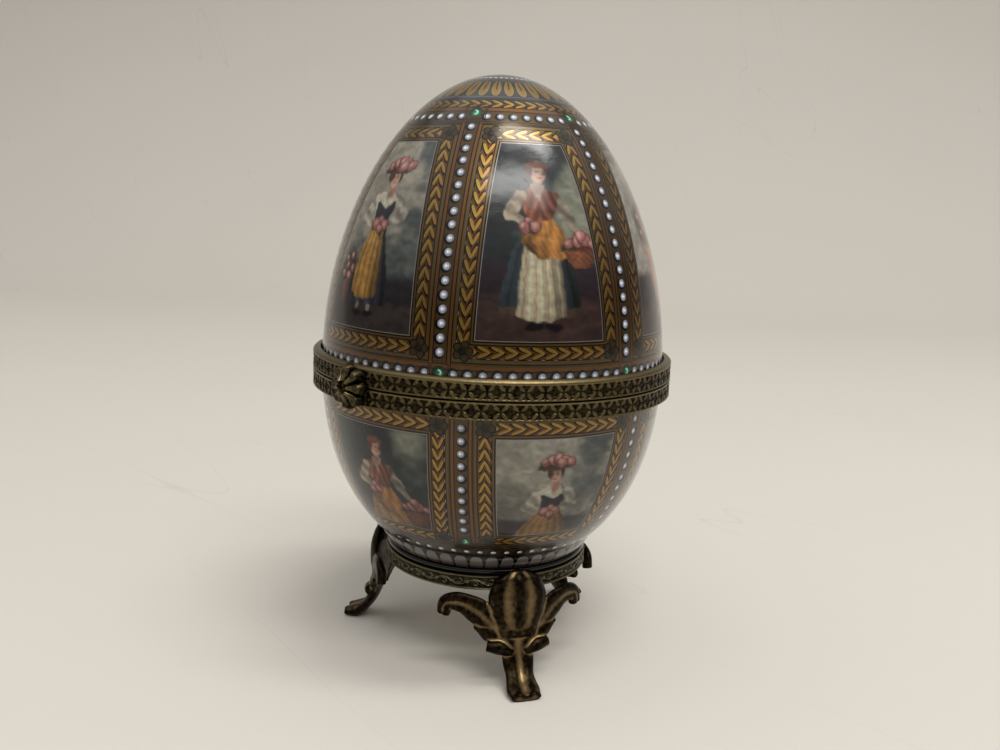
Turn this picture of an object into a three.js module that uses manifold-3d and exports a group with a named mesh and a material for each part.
// Jewelled egg trinket box: a porcelain egg cut into a hinged lid and a bowl,
// each rimmed with a stamped brass collar, closed by a rosette clasp, and
// carried by a brass ring on three cast acanthus legs.
// Units are millimetres, +Z is up, and the origin is on the surface that the
// box stands on, under the egg's axis. The clasp faces -Y, the hinge +Y.

import * as THREE from 'three';
import { mergeVertices } from 'three/addons/utils/BufferGeometryUtils.js';
import Module from 'manifold-3d';

const wasm = await Module();
wasm.setup();

// ---- driving dimensions ----------------------------------------------------

const GAP = 0.3;            // clearance kept between neighbouring pieces
const TURN_STEPS = 40;      // facets around the egg, the collars and the ring

// Egg: radius = EGG_RADIUS * sin(t) * (1 + fullness * cos(t)^2), t from the pole.
const EGG_RADIUS = 43.86;   // porcelain radius at the widest level
const EGG_LEVEL = 73.88;    // height of the widest level
const LID_RISE = 73.3;      // from the widest level to the top of the egg
const LID_FULLNESS = -0.0505;
const BOWL_DROP = 52.7;     // from the widest level to the egg's lower pole
const BOWL_FULLNESS = 0.1085;
const WALL = 2.8;           // porcelain thickness

// Brass collars on the two rims; they meet at the seam.
const COLLAR_RADIUS = 46.0;
const SEAM = 74.0;
const LID_COLLAR_SIDE = 78.2;   // top of the collar's upright side
const LID_COLLAR_TOP = 79.1;    // where its sloping lip meets the porcelain
const BOWL_COLLAR_BOTTOM = 69.75;
const COLLAR_FLANGE = 1.1;      // thickness of the flange over each rim
const COLLAR_MOUTH = 40.6;      // inner radius of the flanges

// Foot of the bowl and the ring it sits in.
const FLANK_TOP = { r: 28.4, z: 31.95 };
const FLANK_FOOT = { r: 26.0, z: 28.3 };
const FOOT_BEAD = { r: 25.75, z: 27.5, size: 0.7 };
const FOOT_RADIUS = 25.4;
const FOOT_BOTTOM = 24.0;
const FOOT_WIDTH = 3.2;
const FLOOR_UNDER = 26.0;   // underside of the bowl's floor
const FLOOR_TOP = 29.0;     // inside of the bowl's floor
const RING_RADIUS = 26.7;
const RING_WALL = 1.0;
const RING_TOP = 26.55;
const RING_BOTTOM = 22.9;
const LEDGE_RADIUS = 22.8;  // inner edge of the ledge the foot rests on
const LEDGE_THICKNESS = 0.8;

// Three cast legs, soldered to the outside of the ring.
const LEG_COUNT = 3;
const FIRST_LEG_ANGLE = 60; // degrees from the clasp, towards +X
const LEG_BACK = RING_RADIUS + GAP; // nothing of a leg reaches inside this
const LEG_WRAP = 28.3;      // radius that the legs' wings are bent around

// Clasp and hinge reach equally far, so the box stays centred on the egg.
const REACH = 49.4;
const ROSETTE_RADIUS = 5.35;
const ROSETTE_PETALS = 8;
const PIN_LEVEL = 47.85;    // distance of the hinge pin from the egg's axis
const PIN_RADIUS = 0.6;
const KNUCKLE_RADIUS = REACH - PIN_LEVEL;
const KNUCKLE_LENGTH = 4.2;
const LEAF_WIDTH = 13.2;
const LEAF_THICKNESS = 0.8;

// ---- materials ---------------------------------------------------------------

function finish(color, roughness, metalness) {
  return new THREE.MeshStandardMaterial({ color, roughness, metalness });
}

const printedPorcelain = finish(0x6b5a48, 0.15, 0.1);
const agedBrass = finish(0x4a4028, 0.45, 1.0);
const darkBrass = finish(0x45402f, 0.5, 1.0);
const pinSteel = finish(0x5a543f, 0.4, 1.0);

// ---- helpers -----------------------------------------------------------------

const rad = THREE.MathUtils.degToRad;

// Turns a closed outline of [radius, height] points about the Z axis.
function turned(outline, steps = TURN_STEPS) {
  const points = outline.map(([r, z]) => new THREE.Vector2(r, z));
  if (THREE.ShapeUtils.area(points) < 0) points.reverse();
  const onAxis = outline[0][0] === 0 && outline[outline.length - 1][0] === 0;
  if (!onAxis) points.push(points[0].clone());
  const geometry = new THREE.LatheGeometry(points, steps);
  geometry.rotateX(Math.PI / 2);
  return geometry;
}

// A closed surface from rows of points, each row a closed loop of equal length;
// the ends are closed by one point each.
function skinned(rows, startPoint, endPoint) {
  const loop = rows[0].length;
  const positions = rows.flat().flatMap((p) => [p.x, p.y, p.z]);
  positions.push(startPoint.x, startPoint.y, startPoint.z);
  positions.push(endPoint.x, endPoint.y, endPoint.z);
  const start = rows.length * loop;
  const end = start + 1;
  const index = [];
  for (let i = 0; i < rows.length - 1; i += 1) {
    for (let j = 0; j < loop; j += 1) {
      const k = (j + 1) % loop;
      const a = i * loop + j;
      const b = i * loop + k;
      index.push(a, b, a + loop, b, b + loop, a + loop);
    }
  }
  const last = (rows.length - 1) * loop;
  for (let j = 0; j < loop; j += 1) {
    const k = (j + 1) % loop;
    index.push(start, k, j);
    index.push(end, last + j, last + k);
  }
  const geometry = new THREE.BufferGeometry();
  geometry.setAttribute('position', new THREE.Float32BufferAttribute(positions, 3));
  geometry.setIndex(index);
  return geometry;
}

function toSolid(geometry) {
  const bare = geometry.clone();
  bare.deleteAttribute('normal');
  bare.deleteAttribute('uv');
  const merged = mergeVertices(bare, 1e-4);
  const solid = new wasm.Manifold(new wasm.Mesh({
    numProp: 3,
    vertProperties: new Float32Array(merged.attributes.position.array),
    triVerts: new Uint32Array(merged.index.array),
  }));
  if (solid.volume() >= 0) return solid;
  const index = Array.from(merged.index.array);
  const flipped = [];
  for (let i = 0; i < index.length; i += 3) {
    flipped.push(index[i], index[i + 2], index[i + 1]);
  }
  return new wasm.Manifold(new wasm.Mesh({
    numProp: 3,
    vertProperties: new Float32Array(merged.attributes.position.array),
    triVerts: new Uint32Array(flipped),
  }));
}

function toGeometry(solid) {
  const mesh = solid.getMesh();
  const geometry = new THREE.BufferGeometry();
  const positions = new THREE.BufferAttribute(new Float32Array(mesh.vertProperties), 3);
  geometry.setAttribute('position', positions);
  geometry.setIndex(new THREE.BufferAttribute(new Uint32Array(mesh.triVerts), 1));
  return geometry;
}

function piece(name, geometry, material) {
  const shaded = geometry.index ? geometry.toNonIndexed() : geometry;
  shaded.computeVertexNormals();
  const mesh = new THREE.Mesh(shaded, material);
  mesh.name = name;
  return mesh;
}

function interpolate(keys, t) {
  const at = THREE.MathUtils.clamp(t, 0, 1) * (keys.length - 1);
  const i = Math.min(Math.floor(at), keys.length - 2);
  const f = at - i;
  const smooth = f * f * (3 - 2 * f);
  return keys[i] + (keys[i + 1] - keys[i]) * smooth;
}

// ---- porcelain egg -------------------------------------------------------------

// One point of the egg's curve; inset moves it in by a wall thickness.
function eggPoint(t, height, fullness, inset = 0) {
  const radius = (EGG_RADIUS - inset) * Math.sin(t) * (1 + fullness * Math.cos(t) ** 2);
  return [radius, EGG_LEVEL + (height - inset * Math.sign(height)) * Math.cos(t)];
}

// The angle at which the egg's curve passes a level.
function eggAngle(level, height, inset = 0) {
  return Math.acos((level - EGG_LEVEL) / (height - inset * Math.sign(height)));
}

function arc(from, to, steps, point) {
  const points = [];
  for (let i = 0; i <= steps; i += 1) points.push(point(from + ((to - from) * i) / steps));
  return points;
}

const lidRim = SEAM + GAP / 2 + COLLAR_FLANGE + GAP;
const bowlRim = SEAM - GAP / 2 - COLLAR_FLANGE - GAP;

function lidOutline() {
  const outer = arc(0, eggAngle(lidRim, LID_RISE), 12,
    (t) => eggPoint(t, LID_RISE, LID_FULLNESS));
  const inner = arc(eggAngle(lidRim, LID_RISE, WALL), 0, 7,
    (t) => eggPoint(t, LID_RISE, LID_FULLNESS, WALL));
  outer[0][0] = 0;
  inner[inner.length - 1][0] = 0;
  return [...outer, ...inner];
}

// The bowl's inside follows the egg and eases into a flat floor.
function bowlInside(t) {
  const [r, z] = eggPoint(t, -BOWL_DROP, BOWL_FULLNESS, WALL);
  const over = z - FLOOR_TOP;
  return [r, FLOOR_TOP + 0.5 * (over + Math.sqrt(over * over + 4))];
}

function bowlOutline() {
  const inside = arc(0, eggAngle(bowlRim, -BOWL_DROP, WALL), 8, bowlInside);
  inside[0][0] = 0;
  const outside = arc(eggAngle(bowlRim, -BOWL_DROP), eggAngle(FLANK_TOP.z, -BOWL_DROP), 7,
    (t) => eggPoint(t, -BOWL_DROP, BOWL_FULLNESS));
  outside[outside.length - 1] = [FLANK_TOP.r, FLANK_TOP.z];
  const bead = arc(rad(60), rad(-60), 3, (a) => [
    FOOT_BEAD.r + FOOT_BEAD.size * Math.cos(a),
    FOOT_BEAD.z + FOOT_BEAD.size * Math.sin(a),
  ]);
  return [
    ...inside,
    ...outside,
    [(FLANK_TOP.r + FLANK_FOOT.r) / 2 + 0.35, (FLANK_TOP.z + FLANK_FOOT.z) / 2],
    [FLANK_FOOT.r, FLANK_FOOT.z],
    ...bead,
    [FOOT_RADIUS, FOOT_BEAD.z - FOOT_BEAD.size],
    [FOOT_RADIUS, FOOT_BOTTOM],
    [FOOT_RADIUS - FOOT_WIDTH, FOOT_BOTTOM],
    [FOOT_RADIUS - FOOT_WIDTH - 0.8, FLOOR_UNDER],
    [0, FLOOR_UNDER],
  ];
}

// ---- brass collars and ring ------------------------------------------------------

const collarBore = EGG_RADIUS + GAP;

function lidCollarOutline() {
  const bottom = SEAM + GAP / 2;
  return [
    [COLLAR_RADIUS, bottom],
    [COLLAR_RADIUS, LID_COLLAR_SIDE],
    [COLLAR_RADIUS - 0.9, LID_COLLAR_TOP - 0.2],
    [collarBore, LID_COLLAR_TOP],
    [collarBore, bottom + COLLAR_FLANGE],
    [COLLAR_MOUTH, bottom + COLLAR_FLANGE],
    [COLLAR_MOUTH, bottom],
  ];
}

function bowlCollarOutline() {
  const top = SEAM - GAP / 2;
  return [
    [COLLAR_MOUTH, top],
    [COLLAR_MOUTH, top - COLLAR_FLANGE],
    [collarBore, top - COLLAR_FLANGE],
    [collarBore, BOWL_COLLAR_BOTTOM],
    [COLLAR_RADIUS - 0.5, BOWL_COLLAR_BOTTOM],
    [COLLAR_RADIUS, BOWL_COLLAR_BOTTOM + 0.5],
    [COLLAR_RADIUS, top],
  ];
}

function ringOutline() {
  const bore = RING_RADIUS - RING_WALL;
  return [
    [LEDGE_RADIUS, RING_BOTTOM],
    [RING_RADIUS, RING_BOTTOM],
    [RING_RADIUS, RING_TOP],
    [bore, RING_TOP],
    [bore, RING_BOTTOM + LEDGE_THICKNESS],
    [LEDGE_RADIUS, RING_BOTTOM + LEDGE_THICKNESS],
  ];
}

// ---- legs ----------------------------------------------------------------------

// A leaf is swept along a path of [sideways, out, up] points, from a pointed
// start to a blunt end. Its width lies across the path, its depth towards
// "out", and flute() adds relief in front.
function leaf({ path, width, depth, rows, around, flute = () => 0 }) {
  const curve = new THREE.CatmullRomCurve3(path.map((p) => new THREE.Vector3(...p)));
  const out = new THREE.Vector3(0, 1, 0);
  const stations = [];
  for (let i = 1; i < rows; i += 1) stations.push(i / rows);
  stations.push(1 - 0.3 / rows);
  const loops = [];
  for (const t of stations) {
    const centre = curve.getPoint(t);
    const along = curve.getTangent(t);
    const across = new THREE.Vector3().crossVectors(out, along).normalize();
    const front = new THREE.Vector3().crossVectors(along, across).normalize();
    const w = interpolate(width, t);
    const d = interpolate(depth, t);
    const loop = [];
    for (let j = 0; j < around; j += 1) {
      const a = (2 * Math.PI * j) / around;
      const x = Math.cos(a);
      const y = Math.sin(a);
      const rise = d * y + (y > 0 ? flute(t, x) * y : 0);
      loop.push(centre.clone().addScaledVector(across, w * x).addScaledVector(front, rise));
    }
    loops.push(loop);
  }
  return skinned(loops, curve.getPoint(0), curve.getPoint(1));
}

// Bends a leaf around the ring: sideways lengths become arcs. The back is kept
// flat where it would meet the ring.
function wrapped(geometry) {
  const p = geometry.attributes.position;
  for (let i = 0; i < p.count; i += 1) {
    const angle = p.getX(i) / LEG_WRAP;
    const radius = Math.max(p.getY(i), LEG_BACK);
    p.setXY(i, radius * Math.sin(angle), -radius * Math.cos(angle));
  }
  return geometry;
}

// Shaft with the shell crest above, a waist, and a cleft hoof-like toe.
const shaft = {
  path: [
    [0, 28.3, 28.9], [0, 29.3, 26.0], [0, 29.7, 21.5], [0, 29.8, 17.0],
    [0, 30.2, 12.5], [0, 31.0, 8.6], [0, 33.0, 4.4], [0, 36.0, 1.7], [0, 39.5, 0.9],
  ],
  width: [2.6, 6.0, 7.1, 6.6, 5.2, 4.3, 3.6, 3.0, 3.2, 2.7],
  depth: [0.8, 1.5, 1.9, 2.0, 1.7, 1.5, 1.5, 1.5, 1.9, 1.4],
  rows: 15,
  around: 16,
  flute: (t, x) => (t < 0.5
    ? 0.55 * Math.cos(8.4 * x) * Math.sin(Math.PI * Math.min(t * 2.2, 1))
    : -0.8 * Math.exp(-((x / 0.3) ** 2))),
};

// Wing that runs out under the ring and curls down at its end.
const wing = (side) => ({
  path: [
    [2.5 * side, 29.6, 12.0], [5.6 * side, 29.6, 15.2], [9.6 * side, 29.2, 18.7],
    [13.6 * side, 28.9, 20.4], [17.0 * side, 28.9, 19.9], [17.8 * side, 29.2, 16.9],
  ],
  width: [1.6, 3.1, 3.3, 2.6, 2.0, 1.6],
  depth: [1.0, 1.3, 1.2, 1.2, 1.5, 1.4],
  rows: 8,
  around: 8,
  flute: (t, x) => -0.35 * Math.exp(-((x / 0.35) ** 2)),
});

// Pointed acanthus lobe below the wing.
const lobe = (side) => ({
  path: [[10.2 * side, 29.6, 14.9], [6.6 * side, 30.0, 13.2], [2.5 * side, 29.8, 9.6]],
  width: [0.6, 2.0, 1.4],
  depth: [0.7, 1.2, 1.0],
  rows: 4,
  around: 6,
});

// Knop at the waist, where the leaves spring from the shaft.
const knop = (side) => ({
  path: [[1.5 * side, 31.2, 8.8], [4.4 * side, 31.4, 10.2], [7.1 * side, 31.1, 10.6]],
  width: [1.2, 1.7, 1.4],
  depth: [1.3, 1.6, 1.3],
  rows: 4,
  around: 6,
});

function legGeometry() {
  const leaves = [shaft, wing(1), wing(-1), lobe(1), lobe(-1), knop(1), knop(-1)];
  const solids = leaves.map((shape) => toSolid(wrapped(leaf(shape))));
  let whole = solids[0];
  for (const solid of solids.slice(1)) whole = whole.add(solid);
  // The toe is cut flat where it stands.
  return toGeometry(whole.subtract(block([60, 60, 4], [0, -LEG_WRAP, -2])));
}

// ---- clasp -----------------------------------------------------------------------

// Rosette of domed petals about the -Y direction, with a hollow eye.
function rosetteGeometry() {
  const around = ROSETTE_PETALS * 4;
  const rings = [0.18, 0.32, 0.475, 0.8, 0.96];
  const back = -(COLLAR_RADIUS + GAP);
  const loops = [];
  const at = (share, angle, y) => {
    const petal = Math.abs(Math.cos((ROSETTE_PETALS * angle) / 2));
    const r = ROSETTE_RADIUS * share * (0.84 + 0.16 * petal ** 0.5);
    return new THREE.Vector3(r * Math.sin(angle), y, SEAM + r * Math.cos(angle));
  };
  for (const share of rings) {
    const loop = [];
    for (let j = 0; j < around; j += 1) {
      const angle = (2 * Math.PI * j) / around;
      const petal = Math.abs(Math.cos((ROSETTE_PETALS * angle) / 2)) ** 0.6;
      const dome = Math.sin(Math.PI * (0.12 + 0.8 * share));
      const height = (REACH - COLLAR_RADIUS - GAP) * dome * (0.62 + 0.38 * petal);
      loop.push(at(share, angle, back - Math.max(height, 0.5)));
    }
    loops.push(loop);
  }
  const edge = [];
  for (let j = 0; j < around; j += 1) edge.push(at(0.96, (2 * Math.PI * j) / around, back));
  loops.push(edge);
  const eye = new THREE.Vector3(0, back - 1.5, SEAM);
  return skinned(loops, eye, new THREE.Vector3(0, back, SEAM));
}

// ---- hinge -----------------------------------------------------------------------

function barrel(from, to, radius, sides = 16) {
  const geometry = new THREE.CylinderGeometry(radius, radius, to - from, sides);
  geometry.rotateZ(Math.PI / 2);
  geometry.translate((from + to) / 2, PIN_LEVEL, SEAM);
  return toSolid(geometry);
}

function block(size, centre) {
  const geometry = new THREE.BoxGeometry(...size);
  geometry.translate(...centre);
  return toSolid(geometry);
}

// A leaf plate curved around the collar, a web, and the knuckles it carries.
function hingeLeaf(side, knuckles) {
  const near = SEAM + side * 1.75;
  const far = SEAM + side * 3.6;
  const inner = COLLAR_RADIUS + GAP;
  const low = Math.min(near, far);
  const high = Math.max(near, far);
  const band = toSolid(turned([
    [inner, low],
    [inner + LEAF_THICKNESS, low],
    [inner + LEAF_THICKNESS, high],
    [inner, high],
  ], 96));
  const window = block([LEAF_WIDTH, 10, 12], [0, COLLAR_RADIUS, SEAM]);
  let whole = band.intersect(window);
  for (const [from, to] of knuckles) {
    const middle = (from + to) / 2;
    whole = whole.add(barrel(from, to, KNUCKLE_RADIUS));
    const web = block([to - from, 1.1, 1.9], [middle, PIN_LEVEL - 0.75, SEAM + side * 1.15]);
    whole = whole.add(web);
  }
  return toGeometry(whole.subtract(barrel(-10, 10, PIN_RADIUS + GAP, 12)));
}

const half = KNUCKLE_LENGTH / 2;
const outerKnuckle = [half + GAP, half + GAP + KNUCKLE_LENGTH];
const bowlKnuckles = [[-half, half]];
const lidKnuckles = [outerKnuckle, [-outerKnuckle[1], -outerKnuckle[0]]];
const pinEnd = outerKnuckle[1] + 0.4;

// ---- assembly --------------------------------------------------------------------

const lid = new THREE.Group();
lid.add(piece('egg_lid', turned(lidOutline()), printedPorcelain));
lid.add(piece('lid_collar', turned(lidCollarOutline()), agedBrass));
lid.add(piece('clasp_rosette', toGeometry(toSolid(rosetteGeometry())), darkBrass));
lid.add(piece('hinge_leaf_lid', hingeLeaf(1, lidKnuckles), agedBrass));

const base = new THREE.Group();
base.add(piece('egg_bowl', turned(bowlOutline()), printedPorcelain));
base.add(piece('bowl_collar', turned(bowlCollarOutline()), agedBrass));
base.add(piece('hinge_leaf_bowl', hingeLeaf(-1, bowlKnuckles), agedBrass));
base.add(piece('hinge_pin', toGeometry(barrel(-pinEnd, pinEnd, PIN_RADIUS, 12)), pinSteel));
base.add(piece('stand_ring', turned(ringOutline()), agedBrass));

const legNames = ['leg_right', 'leg_back', 'leg_left'];
for (let i = 0; i < LEG_COUNT; i += 1) {
  const leg = piece(legNames[i], legGeometry(), darkBrass);
  leg.rotation.z = rad(FIRST_LEG_ANGLE + (360 / LEG_COUNT) * i);
  base.add(leg);
}

const jewelledEgg = new THREE.Group();
jewelledEgg.add(base);
jewelledEgg.add(lid);

export default jewelledEgg;
